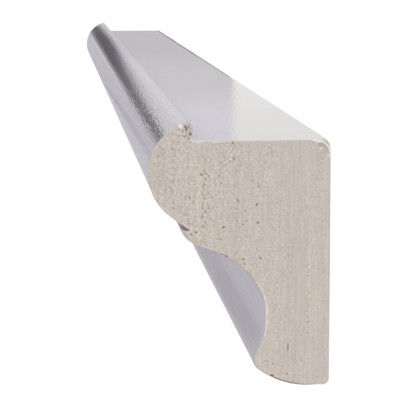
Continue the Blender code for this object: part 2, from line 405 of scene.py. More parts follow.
def section_outline(size, spacing):
    """Closed outline of the section as (depth, height), from the underside up the back and round."""
    depth = RAIL_HIGH[1] - RAIL_LOW[1]
    height = -RAIL_LOW[2]
    quarter = math.radians(90)
    foot_back = Vector((size.back_foot, size.back_foot - height))
    top_back = Vector((size.back_top, -size.back_top))
    back = arc(foot_back, size.back_foot, 3 * quarter, 2 * quarter, spacing)
    top_arris = arc(top_back, size.back_top, 2 * quarter, quarter, spacing)

    bead = Vector((depth - size.bead, -size.bead_drop))
    fillet = Vector((size.top_flat - size.lip_fillet, size.lip_fillet))
    base = arc(fillet, size.lip_fillet, -quarter, 0.0, spacing)
    edge_depth = size.top_flat + size.lip_edge
    reach = size.bead - size.lip_edge
    edge = Vector((edge_depth, bead.y + math.sqrt(reach ** 2 - (edge_depth - bead.x) ** 2)))
    bead_start = math.atan2(edge.y - bead.y, edge.x - bead.x)
    lip_edge = arc(edge, size.lip_edge, 2 * quarter, bead_start, spacing)
    round_bead = arc(bead, size.bead, bead_start, size.undercut - quarter, spacing)

    corner_depth = depth - size.quirk_setback
    fall = (round_bead[-1].x - corner_depth) * math.tan(size.undercut)
    corner = Vector((corner_depth, round_bead[-1].y - fall))
    tip = Vector((depth - size.nose_setback - size.nose_tip, -size.nose_drop))
    belly = tip - (size.nose_belly - size.nose_tip) * direction(size.nose_turn)
    to_tip = tip - corner
    tip_start = math.atan2(to_tip.y, to_tip.x) + math.asin(size.nose_tip / to_tip.length) + quarter
    nose_tip = arc(tip, size.nose_tip, tip_start, size.nose_turn, spacing)
    nose_belly = arc(belly, size.nose_belly, size.nose_turn, size.cove_slope - quarter, spacing)

    foot = Vector((size.foot_reach - size.foot_tip, size.foot_rise - height))
    under_height = size.foot_under - height
    between = size.foot_under - size.foot_tip
    under = Vector((foot.x - math.sqrt(between ** 2 - (foot.y - under_height) ** 2), under_height))
    join = math.atan2(foot.y - under.y, foot.x - under.x)
    foot_tip = arc(foot, size.foot_tip, size.foot_turn, join, spacing)
    foot_under = arc(under, size.foot_under, join, -quarter, spacing)

    wall = Vector((size.cove_wall, -size.cove_drop))
    cove_top = nose_belly[-1]
    full = size.cove_fullness
    upper = cubic(
        cove_top, cove_top + full * (cove_top.x - wall.x) * direction(size.cove_slope + 2 * quarter),
        wall + Vector((0.0, full * (cove_top.y - wall.y))), wall, spacing)
    fall = wall.y - foot_tip[0].y
    lower = cubic(
        wall, wall - Vector((0.0, full * fall)),
        foot_tip[0] + full * fall * direction(size.foot_turn + quarter), foot_tip[0], spacing)

    runs = [
        back, line(back[-1], top_arris[0], spacing), top_arris, line(top_arris[-1], base[0], spacing),
        base, line(base[-1], lip_edge[0], spacing), lip_edge, round_bead,
        line(round_bead[-1], corner, spacing), line(corner, nose_tip[0], spacing), nose_tip, nose_belly,
        upper, lower, foot_tip, foot_under, line(foot_under[-1], back[0], spacing),
    ]
    return [point for run in runs for point in run[:-1]]


def in_rail(points, x):
    """Section points (depth, height) as places on the rail at a distance along X."""
    places = np.empty((len(points), 3))
    places[:, 0] = x
    places[:, 1] = RAIL_HIGH[1] - np.array([point[0] for point in points])
    places[:, 2] = [point[1] for point in points]
    return places


def deselect_objects():
    """Leave nothing selected and nothing active in edit mode."""
    if bpy.context.mode != "OBJECT":
        bpy.ops.object.mode_set(mode="OBJECT")
    bpy.ops.object.select_all(action="DESELECT")


def make_active(piece):
    """Select one object alone and make it the active one."""
    deselect_objects()
    piece.select_set(True)
    bpy.context.view_layer.objects.active = piece


def get_places(piece):
    """All vertex places of a piece."""
    flat = np.empty(len(piece.data.vertices) * 3)
    piece.data.vertices.foreach_get("co", flat)
    return flat.reshape(-1, 3)


def set_places(piece, places):
    """Move all vertices of a piece."""
    piece.data.vertices.foreach_set("co", np.ascontiguousarray(places).ravel())
    piece.data.update()


def select_vertices(piece, mask):
    """Select the masked vertices and the edges and faces between them, in object mode."""
    data = piece.data
    data.vertices.foreach_set("select", mask)
    pairs = np.empty(len(data.edges) * 2, dtype=np.int32)
    data.edges.foreach_get("vertices", pairs)
    data.edges.foreach_set("select", mask[pairs].reshape(-1, 2).all(axis=1))
    data.polygons.foreach_set("select", [all(mask[i] for i in face.vertices) for face in data.polygons])


def inside_outline(places, outline):
    """Which (y, z) places lie inside a closed (y, z) outline."""
    inside = np.zeros(len(places), dtype=bool)
    following = np.roll(outline, -1, axis=0)
    for (y0, z0), (y1, z1) in zip(outline, following):
        crosses = (z0 > places[:, 1]) != (z1 > places[:, 1])
        if z1 != z0:
            at = y0 + (places[:, 1] - z0) * (y1 - y0) / (z1 - z0)
            inside ^= crosses & (places[:, 0] < at)
    return inside


def ring_places(length):
    """Distances from the near end at which the rail has a ring, close together near the saw cut."""
    first, step, growth = 0.08 * MM, 0.16 * MM, 1.5
    close_reach, open_reach = 3.2 * MM, length * 0.94
    far_rings = (1.2, 0.5, 0.3, 0.15, 0.0)
    rings = [first * count for count in range(1, 6)]
    while rings[-1] + step < open_reach:
        rings.append(rings[-1] + step)
        if rings[-1] > close_reach:
            step *= growth
    return rings + [length - back * MM for back in far_rings]


def draw_long_faces(outline, near, length):
    """A ring with one vertex for each point of the outline, drawn out along the rail."""
    bpy.ops.mesh.primitive_circle_add(vertices=len(outline), radius=0.01, fill_type="NOTHING")
    rail = bpy.context.object
    rail.name = PIECE
    rail.data.name = PIECE
    set_places(rail, in_rail(outline, near))
    bpy.ops.object.mode_set(mode="EDIT")
    bpy.ops.mesh.select_all(action="SELECT")
    last = 0.0
    for ring in ring_places(length):
        bpy.ops.mesh.extrude_region_move(TRANSFORM_OT_translate={"value": (last - ring, 0.0, 0.0)})
        last = ring
    bpy.ops.mesh.fill(use_beauty=True)
    bpy.ops.object.mode_set(mode="OBJECT")
    return rail


def draw_near_end(outline, near, grid):
    """A fine grid over the near sawn end, trimmed to lie just inside the outline."""
    edge = in_rail(outline, near)[:, 1:]
    low, high = edge.min(axis=0), edge.max(axis=0)
    across = int((high[0] - low[0]) / grid)
    up = int((high[1] - low[1]) / grid)
    bpy.ops.mesh.primitive_grid_add(
        x_subdivisions=up, y_subdivisions=across, size=1.0,
        location=(near, (low[0] + high[0]) / 2, (low[1] + high[1]) / 2),
        rotation=(0.0, math.radians(90), 0.0))
    face = bpy.context.object
    bpy.ops.transform.resize(value=(1.0, high[0] - low[0], high[1] - low[1]))
    bpy.ops.object.transform_apply(location=True, rotation=True, scale=True)
    places = get_places(face)
    tree = kdtree.KDTree(len(edge))
    for index, (y, z) in enumerate(edge):
        tree.insert((y, z, 0.0), index)
    tree.balance()
    gap = np.array([tree.find((y, z, 0.0))[2] for y, z in places[:, 1:]])
    border_gap = 0.6 * grid
    keep = inside_outline(places[:, 1:], edge) & (gap > border_gap)
    select_vertices(face, ~keep)
    bpy.ops.object.mode_set(mode="EDIT")
    bpy.ops.mesh.select_mode(type="VERT")
    bpy.ops.mesh.delete(type="VERT")
    trim_pinches(face)
    bpy.ops.object.mode_set(mode="OBJECT")
    return face


def trim_pinches(face):
    """Delete squares that hang on by one corner, so that the grid has one plain border."""
    bpy.ops.mesh.select_mode(type="VERT")
    most_passes = 8
    for attempt in range(most_passes):
        bpy.ops.object.mode_set(mode="OBJECT")
        data = face.data
        uses = np.zeros(len(data.edges), dtype=int)
        keys = {tuple(sorted(edge.vertices)): edge.index for edge in data.edges}
        for square in data.polygons:
            for key in square.edge_keys:
                uses[keys[tuple(sorted(key))]] += 1
        border = np.zeros(len(data.vertices), dtype=int)
        for edge in data.edges:
            if uses[edge.index] < 2:
                border[edge.vertices[0]] += 1
                border[edge.vertices[1]] += 1
        corners = [corner for square in data.polygons for corner in square.vertices]
        loose = (border == 0) & (np.bincount(corners, minlength=len(border)) == 0)
        pinched = (border > 2) | loose
        if not pinched.any():
            bpy.ops.object.mode_set(mode="EDIT")
            return
        select_vertices(face, pinched)
        bpy.ops.object.mode_set(mode="EDIT")
        bpy.ops.mesh.delete(type="VERT")
    raise RuntimeError("the near end's grid still has pinched corners")


def join_near_end(rail, face):
    """Join the grid to the rail and fill the narrow band between its border and the outline."""
    make_active(rail)
    face.select_set(True)
    bpy.ops.object.join()
    bpy.ops.object.mode_set(mode="EDIT")
    bpy.ops.mesh.select_mode(type="EDGE")
    bpy.ops.mesh.select_all(action="DESELECT")
    bpy.ops.mesh.select_non_manifold(extend=False, use_wire=False, use_boundary=True,
                                     use_multi_face=False, use_non_contiguous=False, use_verts=False)
    bpy.ops.mesh.fill(use_beauty=True)
    bpy.ops.mesh.select_all(action="SELECT")
    bpy.ops.mesh.normals_make_consistent(inside=False)
    bpy.ops.mesh.select_mode(type="VERT")
    bpy.ops.object.mode_set(mode="OBJECT")


def nearest_on(outline, places):
    """Index of the nearest outline point, and its distance, for each (depth, height) place."""
    tree = kdtree.KDTree(len(outline))
    for index, point in enumerate(outline):
        tree.insert((*point, 0.0), index)
    tree.balance()
    found = [tree.find((*place, 0.0)) for place in places]
    return np.array([item[1] for item in found]), np.array([item[2] for item in found])


def outward_normals(outline):
    """Unit normals out of the section at each outline point, as (depth, height)."""
    along = np.roll(outline, -1, axis=0) - np.roll(outline, 1, axis=0)
    normals = np.column_stack([-along[:, 1], along[:, 0]])
    return normals / np.linalg.norm(normals, axis=1)[:, None]


def noise_at(places, scale, offset=0.0):
    """Smooth noise, about -1 to 1, at each place, with so many waves for a millimetre."""
    scaled = np.atleast_2d(places) * (scale / MM) + offset
    if scaled.shape[1] == 2:
        scaled = np.column_stack([scaled, np.full(len(scaled), 0.5)])
    return np.array([noise.noise(Vector(place)) for place in scaled])


def smooth_step(value, start, end):
    """0 before start, 1 after end, and smooth between."""
    t = np.clip((value - start) / (end - start), 0.0, 1.0)
    return t * t * (3.0 - 2.0 * t)


def arris_wear(outline, wear):
    """Worn radius of the near arris and the paint left on it, at each outline point."""
    places = np.array([(depth, height) for name, depth, height, radius, share in ARRIS]) * MM
    values = np.array([(radius * MM, share) for name, depth, height, radius, share in ARRIS])
    gaps = np.linalg.norm(outline[:, None] - places[None], axis=2) / MM
    weights = 1.0 / (gaps ** 2 + 2.0) ** 2
    blended = (weights[:, :, None] * values).sum(axis=1) / weights.sum(axis=1)[:, None]
    uneven = 0.7 * noise_at(outline, 0.7) + 0.5 * noise_at(outline, 2.1, 9.0)
    radius = blended[:, 0] * wear.arris * (1.0 + 2.0 * wear.unevenness * uneven)
    return np.clip(radius, 0.05 * MM, None), np.clip(blended[:, 1], 0.0, 1.0)


def round_corner(section, corner, inward, radius, share):
    """Round a square corner of the section off to a radius, fully where share is 1."""
    offset = radius[:, None] - (section - corner) * inward
    reach = np.linalg.norm(offset, axis=1)
    inner = 0.4 * radius
    box = radius * reach / np.maximum(offset.max(axis=1), 1e-9)
    squeeze = inner + (reach - inner) * (radius - inner) / np.maximum(box - inner, 1e-9)
    hit = (offset > 0.0).all(axis=1) & (reach > inner) & (share > 0.0)
    moved = corner + (radius[:, None] - offset * (squeeze / np.maximum(reach, 1e-9))[:, None]) * inward
    weight = np.where(hit, share, 0.0)[:, None]
    return section * (1.0 - weight) + moved * weight, hit


def bite(places, centre, radius):
    """Push the places within a rough ball out to its surface, and say which were moved."""
    offset = places - centre
    reach = np.linalg.norm(offset, axis=1)
    close = np.nonzero(reach < 1.4 * radius)[0]
    way = offset[close] / np.maximum(reach[close], 1e-9)[:, None]
    rough = np.array([noise.noise(Vector(1.9 * outward + centre / MM)) for outward in way])
    edge = radius * (1.0 + 0.35 * rough) if len(close) else np.zeros(0)
    deep = reach[close] < edge
    places[close[deep]] = centre + way[deep] * edge[deep][:, None]
    moved = np.zeros(len(places), dtype=bool)
    moved[close[deep]] = True
    return moved


def pore_list():
    """Every pore of the near end: the single ones, then the rows of small ones."""
    random = np.random.default_rng(SEED)
    pores = [list(pore_and_shade) for pore_and_shade in PORES]
    for depth, bottom, top, spread, count, strength in PORE_ROWS:
        for index in range(count):
            size = random.uniform(0.07, 0.13)
            pores.append([
                depth + spread * random.uniform(-0.5, 0.5), random.uniform(bottom, top),
                size, size * random.uniform(0.9, 1.6), 0.85 * strength * random.uniform(0.5, 1.4)])
    return np.array(pores)


def open_pores(section, close):
    """How dark and how pale the end grain is at each place, from its pores and their torn rims; the pores'
    darkness is partly painted shade down in the pits.
    """
    dark = np.zeros(len(section))
    pale = np.zeros(len(section))
    random = np.random.default_rng(SEED + 1)
    for depth, height, half_width, half_height, strength in pore_list():
        offset = section / MM - (depth, height)
        reach = np.linalg.norm(offset / (half_width, half_height), axis=1)
        dark = np.maximum(dark, min(1.0, 1.3 * strength) * np.exp(-0.6 * reach ** 2))
        side = random.uniform(0.0, 2.0 * math.pi)
        rim_centre = 0.24 * np.array((math.cos(side), math.sin(side)))
        rim = np.linalg.norm((offset - rim_centre) / (half_width + 0.08, half_height + 0.08), axis=1)
        pale = np.maximum(pale, 0.9 * min(1.0, strength + 0.3) * np.exp(-0.8 * rim ** 2))
    return np.where(close, dark, 0.0), np.where(close, pale * (1.0 - dark), 0.0)


def write_attribute(piece, name, values):
    """Keep one number for each vertex, which the materials read."""
    entry = piece.data.attributes.new(name, "FLOAT", "POINT")
    entry.data.foreach_set("value", np.ascontiguousarray(values, dtype=np.float32))


def ease_sawn_arrises(inset, back, from_far, radius, length):
    """How far each place moves in from the outline, and how far from the near end it comes to lie."""
    on_end = back < 1e-6
    at_far = from_far < FAR_EASE
    eighth_turn = math.pi / 4.0
    turn_end = eighth_turn * (1.0 - np.clip(inset / radius, 0.0, 1.0))
    turn_side = eighth_turn * (1.0 - np.clip(back / radius, 0.0, 1.0))
    turn_far = eighth_turn * (1.0 - np.clip(from_far / FAR_EASE, 0.0, 1.0))
    inward = np.where(on_end, radius * (1.0 - np.sin(turn_end)) - inset, radius * (1.0 - np.cos(turn_side)))
    inward = np.where(on_end & (inset > radius), 0.0, inward)
    inward = np.where(at_far, FAR_EASE * (1.0 - np.cos(turn_far)), inward)
    along = np.where(on_end, radius * (1.0 - np.cos(turn_end)), radius * (1.0 - np.sin(turn_side)))
    along = np.where(~on_end & (back > radius), back, along)
    along = np.where(at_far, length - FAR_EASE * (1.0 - np.sin(turn_far)), along)
    return inward, along


def round_worn_corners(section, outline, back, size, wear):
    """Round the back top corner and the lip off towards the near end, and say where the corner was."""
    inward = np.array((1.0, -1.0))
    corner_fade = (1.0 - np.clip(back / wear.corner_run, 0.0, 1.0)) ** 1.5
    uneven = 1.0 + 0.12 * noise_at(np.column_stack([back, np.zeros(len(back))]), 0.5)
    knock = 0.25 * corner_fade + 0.75 * np.exp(-back / (0.7 * MM))
    corner_radius = size.back_top + (wear.corner_round - size.back_top) * knock * uneven
    section, at_corner = round_corner(
        section, np.zeros(2), inward, corner_radius, smooth_step(corner_fade, 0.0, 0.3))
    lip = outline[outline[:, 1] > 2.5 * MM]
    lip_corner = np.array((lip[:, 0].min(), lip[:, 1].max()))
    lip_fade = (1.0 - np.clip(back / wear.lip_run, 0.0, 1.0)) ** 1.3
    lip_knock = 0.6 * lip_fade + 0.8 * np.exp(-back / (1.2 * MM))
    lip_radius = size.lip_edge + (wear.lip_round - size.lip_edge) * lip_knock
    section = round_corner(section, lip_corner, inward, lip_radius, smooth_step(lip_fade, 0.0, 0.3))[0]
    return section, at_corner


def break_chips(places, pale, bare):
    """Break the chips out of the near end, and mark the pale fibres and bare wood in them."""
    for name, depth, height, beyond, radius, wood in CHIPS:
        centre = np.array((RAIL_HIGH[0] + beyond * MM, RAIL_HIGH[1] - depth * MM, height * MM))
        moved = bite(places, centre, radius * MM)
        pale[moved] = np.maximum(pale[moved], 0.75 - 0.5 * wood)
        bare[moved] = np.maximum(bare[moved], wood)


def edge_shade_lines(section, inset, back):
    """Painted shade along the near end's outline: how dark it is under the foot, and where the nose runs
    into the cove.
    """
    depth, height = section[:, 0], section[:, 1]
    shade_under_foot = smooth_step(12.6 * MM - depth, 0.0, 0.3 * MM) * smooth_step(depth, 1.0 * MM, 10.5 * MM)
    shade_under_foot *= (height < -49.0 * MM) * (back < 0.5 * MM)
    shade_under_foot *= smooth_step(0.36 * MM - inset, 0.0, 0.16 * MM)
    cove_edge = smooth_step(depth, 14.5 * MM, 17.0 * MM) * smooth_step(-height, 22.6 * MM, 23.4 * MM)
    cove_edge *= (height > -33.0 * MM) * (back < 0.4 * MM)
    cove_edge *= smooth_step(0.3 * MM - inset, 0.0, 0.2 * MM)
    return shade_under_foot, cove_edge


def add_flakes(flake, section, back):
    """Add the single white flakes of paint to the film of them that is there."""
    for depth, height, half_width, half_height in FLAKES:
        reach = np.linalg.norm((section / MM - (depth, height)) / (half_width, half_height), axis=1)
        flake = np.maximum(flake, np.exp(-reach ** 2) * (back < 0.6 * MM))
    return flake


def wear_near_end(rail, size, wear):
    """Round, chip and open up the near end, and mark what shows where for the materials, painted shade along
    some edges and in the pores among it.
    """
    near, far = RAIL_HIGH[0], RAIL_LOW[0]
    outline = np.array([tuple(point) for point in section_outline(size, size.spacing)])
    places = get_places(rail)
    section = np.column_stack([RAIL_HIGH[1] - places[:, 1], places[:, 2]])
    back, from_far = near - places[:, 0], places[:, 0] - far
    index, inset = nearest_on(outline, section)
    on_end = back < 1e-6

    radius, share = arris_wear(outline, wear)
    radius, share = radius[index], share[index]
    inward, along = ease_sawn_arrises(inset, back, from_far, radius, near - far)
    section = section - outward_normals(outline)[index] * inward[:, None]
    section, at_corner = round_worn_corners(section, outline, back, size, wear)

    dark, pale = open_pores(section, back < 0.5 * MM)
    grain = noise_at(section * (1.0, 0.6), 1.6) + 0.6 * noise_at(section * (1.0, 0.7), 3.1, 5.0)
    calm = smooth_step(section[:, 0], 3.0 * MM, 16.0 * MM) * 0.6 + 0.4
    relief = wear.pore_depth * dark - wear.fibre * pale + wear.fibre * calm * (1.0 + grain)
    relief *= np.clip(inset / (0.4 * MM), 0.0, 1.0)
    along = along + np.where(on_end & (inset > 1e-6), relief, 0.0)
    places = np.column_stack([near - along, RAIL_HIGH[1] - section[:, 0], section[:, 1]])
    bare = np.zeros(len(places))
    break_chips(places, pale, bare)

    band = smooth_step(radius * 1.05 - inset, -0.05 * MM, 0.12 * MM) * on_end
    worn_side = smooth_step(radius * 0.8 - back, -0.06 * MM, 0.10 * MM) * ~on_end
    fray = 0.5 + 0.5 * noise_at(places, 1.3, 3.0)
    torn = (band + worn_side) * (1.0 - share) * (0.55 + 0.45 * fray)
    pale = np.maximum(pale, torn * (from_far >= FAR_EASE))
    patch = smooth_step(-back, -7.0 * MM, -3.5 * MM) * smooth_step(back, 0.0, 0.2 * MM)
    patch *= at_corner * smooth_step(2.1 * MM - section[:, 0], 0.0, 0.5 * MM)
    bare = np.maximum(bare, patch * (0.6 + 0.4 * fray))
    film = at_corner * on_end * smooth_step(0.34 * MM - inset, 0.0, 0.2 * MM)
    film *= smooth_step(noise_at(section, 0.9, 6.0), -0.35, 0.05)
    # Painted shade: a darker band just inside the worn back top corner of the near end.
    corner_shade = at_corner * on_end * smooth_step(inset, 0.3 * MM, 0.7 * MM)
    corner_shade *= smooth_step(1.6 * MM - inset, 0.0, 0.7 * MM)
    # Painted shade: a dark line along the outline under the foot, and one where the nose runs into the cove;
    # pale marks are cleared under both.
    shade_under_foot, cove_edge = edge_shade_lines(section, inset, back)
    dark = np.maximum(dark, 0.35 * corner_shade * fray)
    dark = np.maximum(dark, shade_under_foot)
    dark = np.maximum(dark, 0.32 * cove_edge * (0.6 + 0.8 * fray))
    pale = pale * (1.0 - shade_under_foot) * (1.0 - cove_edge)

    write_attribute(rail, "flake", add_flakes(film, section, back))
    # The dark mark holds the pores, partly painted shade in their pits, and the painted shade lines along
    # the outline.
    write_attribute(rail, "dark", dark)
    write_attribute(rail, "pale", pale)
    write_attribute(rail, "bare", bare)
    write_attribute(rail, "painted", band * share)
    set_places(rail, places)


def sort_faces(rail):
    """Give the sawn ends and the worn far part of the back top arris materials of their own."""
    for name in ("long_faces", "sawn_ends", "far_arris"):
        rail.data.materials.append(bpy.data.materials.new(name))
    normals = np.empty(len(rail.data.polygons) * 3)
    centres = np.empty(len(rail.data.polygons) * 3)
    rail.data.polygons.foreach_get("normal", normals)
    rail.data.polygons.foreach_get("center", centres)
    centres = centres.reshape(-1, 3)
    slots = (np.abs(normals.reshape(-1, 3)[:, 0]) > 0.5).astype(np.int32)
    on_arris = (centres[:, 1] > RAIL_HIGH[1] - 1.3 * MM) & (centres[:, 2] > -0.65 * MM)
    slots[on_arris & (centres[:, 0] < FAR_ARRIS) & (slots == 0)] = 2
    rail.data.polygons.foreach_set("material_index", slots)


class RAIL_OT_body(bpy.types.Operator):
    """Draw the rail's long faces and its two sawn ends."""

    bl_idname = "rail.body"
    bl_label = "Draw rail"

    def execute(self, context):
        size = context.scene.rail_section
        near = RAIL_HIGH[0]
        outline = section_outline(size, size.spacing)
        deselect_objects()
        rail = draw_long_faces(outline, near, RAIL_HIGH[0] - RAIL_LOW[0])
        deselect_objects()
        face = draw_near_end(outline, near, size.grid)
        join_near_end(rail, face)
        sort_faces(rail)
        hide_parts(NODE)
        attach(rail, "root")
        return {"FINISHED"}


class RAIL_OT_wear(bpy.types.Operator):
    """Wear the arrises, break the chips and open the pores of the near end."""

    bl_idname = "rail.wear"
    bl_label = "Wear near end"

    def execute(self, context):
        wear_near_end(bpy.data.objects[PIECE], context.scene.rail_section, context.scene.rail_wear)
        return {"FINISHED"}


class RAIL_OT_finish(bpy.types.Operator):
    """Paint the long faces and finish the sawn ends."""

    bl_idname = "rail.finish"
    bl_label = "Finish rail"

    def execute(self, context):
        finish = context.scene.rail_finish
        rail = bpy.data.objects[PIECE]
        rail.data.materials[0] = paint_material(finish)
        rail.data.materials[1] = end_grain_material(finish)
        rail.data.materials[2] = far_arris_material(finish)
        make_active(rail)
        bpy.ops.object.shade_smooth_by_angle(angle=math.radians(45))
        return {"FINISHED"}


class Finish:
    """A node material for the rail, with short ways to add its parts."""

    def __init__(self, name):
        self.material = bpy.data.materials.new(name)
        self.material.use_nodes = True
        self.nodes = self.material.node_tree.nodes
        self.links = self.material.node_tree.links
        self.shader = self.nodes["Principled BSDF"]
        coordinates = self.nodes.new("ShaderNodeTexCoord")
        self.places = coordinates.outputs["Object"]

    def set_input(self, node, socket, value):
        """Link a socket to an output, or give it a plain number or colour."""
        if isinstance(value, bpy.types.NodeSocket):
            self.links.new(value, node.inputs[socket])
        elif isinstance(value, (int, float)):
            node.inputs[socket].default_value = value
        else:
            node.inputs[socket].default_value = (*value, 1.0)

    def pattern(self, waves, detail=2.0, rough=0.5, offset=0.0):
        """Noise from 0 to 1, with so many waves a millimetre along X, Y and Z."""
        mapping = self.nodes.new("ShaderNodeMapping")
        self.links.new(self.places, mapping.inputs["Vector"])
        mapping.inputs["Location"].default_value = (offset, offset, offset)
        mapping.inputs["Scale"].default_value = [count / MM for count in waves]
        texture = self.nodes.new("ShaderNodeTexNoise")
        self.links.new(mapping.outputs["Vector"], texture.inputs["Vector"])
        texture.inputs["Scale"].default_value = 1.0
        texture.inputs["Detail"].default_value = detail
        texture.inputs["Roughness"].default_value = rough
        return texture.outputs["Fac"]

    def attribute(self, name):
        """A number kept on the rail's vertices."""
        node = self.nodes.new("ShaderNodeAttribute")
        node.attribute_name = name
        return node.outputs["Fac"]

    def place(self, axis):
        """Distance along one axis of the rail, in metres."""
        node = self.nodes.new("ShaderNodeSeparateXYZ")
        self.links.new(self.places, node.inputs[0])
        return node.outputs[axis]

    def arithmetic(self, operation, first, second=0.0):
        """One step of arithmetic."""
        node = self.nodes.new("ShaderNodeMath")
        node.operation = operation
        self.set_input(node, 0, first)
        self.set_input(node, 1, second)
        return node.outputs[0]

    def times(self, first, second):
        """One value multiplied by another."""
        return self.arithmetic("MULTIPLY", first, second)

    def plus(self, first, second):
        """Two values added up."""
        return self.arithmetic("ADD", first, second)

    def minus(self, first, second):
        """One value less another."""
        return self.arithmetic("SUBTRACT", first, second)

    def range(self, value, low, high, start=0.0, end=1.0):
        """Carry a value from one range to another, held within it."""
        node = self.nodes.new("ShaderNodeMapRange")
        node.interpolation_type = "SMOOTHSTEP"
        for socket, amount in zip(("Value", "From Min", "From Max", "To Min", "To Max"),
                                  (value, low, high, start, end)):
            self.set_input(node, socket, amount)
        return node.outputs["Result"]

    def blend(self, share, first, second):
        """Mix two colours."""
        node = self.nodes.new("ShaderNodeMix")
        node.data_type = "RGBA"
        for socket, value in ((0, share), (6, first), (7, second)):
            self.set_input(node, socket, value)
        return node.outputs[2]

    def bump(self, height, distance, under=None):
        """Raise the surface by a pattern's height times a distance in metres."""
        node = self.nodes.new("ShaderNodeBump")
        node.inputs["Strength"].default_value = 1.0
        node.inputs["Distance"].default_value = distance
        self.links.new(height, node.inputs["Height"])
        if under is not None:
            self.links.new(under, node.inputs["Normal"])
        return node.outputs["Normal"]

    def finish(self, color, roughness, normal):
        """Join the colour, roughness and normal to the shader."""
        self.set_input(self.shader, "Base Color", color)
        self.set_input(self.shader, "Roughness", roughness)
        self.links.new(normal, self.shader.inputs["Normal"])
        return self.material


def shade(color, share):
    """A colour made darker or lighter, with no channel past white."""
    return [min(1.0, channel * share) for channel in color]


def quirk_light_share(look):
    """How much paler, dull paint lies at each place as painted light lifting the shade, most along the
    quirk's corner.
    """
    across = look.minus(look.place("Y"), QUIRK_LINE[0])
    down = look.minus(look.place("Z"), QUIRK_LINE[1])
    from_quirk = look.plus(look.times(across, across), look.times(down, down))
    return look.range(from_quirk, (3.4 * MM) ** 2, (1.2 * MM) ** 2)


def cove_shade_share(look):
    """How much the top of the cove next to the near end is tinted mauve-brown and dulled as painted shade.
    """
    height = look.place("Z")
    sawn_end = look.range(look.place("X"), RAIL_HIGH[0] - 12.0 * MM, RAIL_HIGH[0])
    cove_top = look.times(
        look.range(height, -19.0 * MM, -22.0 * MM), look.range(height, -36.0 * MM, -31.0 * MM))
    return look.times(look.times(sawn_end, cove_top), 0.4)


def hair_bump(look):
    """Fibres raised along the rail, most on the bead and towards the near end, and the cutter's waves."""
    by_length = look.range(look.place("X"), 0.0, 200.0 * MM, 0.2, 1.0)
    by_depth = look.range(look.place("Y"), LIP_WALL + 0.5 * MM, LIP_WALL - 0.5 * MM, 0.25, 1.0)
    by_height = look.range(look.place("Z"), -19.0 * MM, -17.0 * MM, 0.1, 1.0)
    reach = look.times(look.times(by_length, by_depth), by_height)
    hairs = look.times(look.pattern((0.22, 2.05, 2.05), detail=1.0, offset=6.0), reach)
    waves = look.pattern((0.14, 0.01, 0.01), detail=1.0, offset=2.0)
    return look.bump(waves, 0.01 * MM, look.bump(hairs, 0.068 * MM))


def paint_material(finish):
    """Cool light grey satin paint, rolled along the rail, rubbed at the lip, dull and painted lighter in the
    quirk as painted light, with painted shade on the top of the cove by the near end.
    """
    look = Finish("satin_paint")
    drift = look.pattern((0.012, 0.12, 0.12), detail=3.0)
    color = look.blend(look.range(drift, 0.35, 0.65), shade(finish.paint, 0.975), finish.paint_light)
    streaks = look.pattern((0.06, 2.2, 2.2), detail=3.0, rough=0.6, offset=3.0)
    color = look.blend(look.range(streaks, 0.3, 0.75, 0.0, 0.06), color, (1.0, 1.0, 1.0))
    lip_side = look.range(look.place("Y"), LIP_WALL - 1.3 * MM, LIP_WALL - 0.7 * MM)
    lip_edge = look.times(lip_side, look.range(look.place("Z"), 3.0 * MM, 3.5 * MM))
    color = look.blend(look.times(lip_edge, 0.1), color, finish.lip_wear_and_shade)
    color = look.blend(look.times(look.attribute("pale"), 0.9), color, finish.paint_edge)
    color = look.blend(look.attribute("bare"), color, finish.bare_wood)
    color = look.blend(look.attribute("flake"), color, finish.flake)
    # Painted light along the quirk on dulled paint, and painted shade on the top of the cove next to the
    # near end.
    painted_quirk_light, cove_shade = quirk_light_share(look), cove_shade_share(look)
    color = look.blend(painted_quirk_light, color, finish.quirk_light_paint)
    # Painted shade on the top of the cove next to the near end, in the worn lip's tint.
    color = look.blend(cove_shade, color, finish.lip_wear_and_shade)

    gloss = finish.paint_roughness
    roughness = look.range(streaks, 0.3, 0.8, gloss * 0.9, gloss * 1.2)
    dulled = ((look.attribute("pale"), 0.3), (look.attribute("bare"), 0.5), (lip_edge, 0.15), (painted_quirk_light, 0.55))
    for share, added in dulled:
        roughness = look.plus(roughness, look.times(share, added))
    roughness = look.plus(roughness, cove_shade)
    return look.finish(color, roughness, hair_bump(look))


def far_arris_material(finish):
    """Dull, rubbed strip along the far part of the back top arris, with dirty wood showing in it."""
    look = Finish("far_arris")
    scuffs = look.range(look.pattern((0.035, 0.9, 0.9), detail=3.0, offset=1.0), 0.38, 0.58, 0.25, 1.0)
    far_part = look.range(look.place("X"), FAR_ARRIS, -120.0 * MM)
    worn = look.times(scuffs, far_part)
    color = look.blend(worn, finish.rubbed_paint, finish.worn_arris)
    look.shader.inputs["Specular IOR Level"].default_value = 0.0
    return look.finish(color, 0.9, look.bump(scuffs, 0.02 * MM))


def grain_tones(look, finish):
    """Three close tones of sealed end grain in faint upright bands, with pale hairlines."""
    bands = look.range(look.pattern((0.02, 0.45, 0.015), detail=3.0), 0.3, 0.7)
    color = look.blend(bands, shade(finish.end_grain, 0.95), shade(finish.end_grain, 1.05))
    warmth = look.range(look.pattern((0.1, 0.16, 0.09), detail=3.0, offset=11.0), 0.38, 0.62)
    color = look.blend(0.38, color, look.blend(warmth, finish.grain_cool, finish.grain_warm))
    hairlines = look.range(look.pattern((0.02, 1.7, 0.1), detail=2.0, offset=17.0), 0.35, 0.65, 0.0, 0.16)
    return look.blend(hairlines, color, finish.halo)


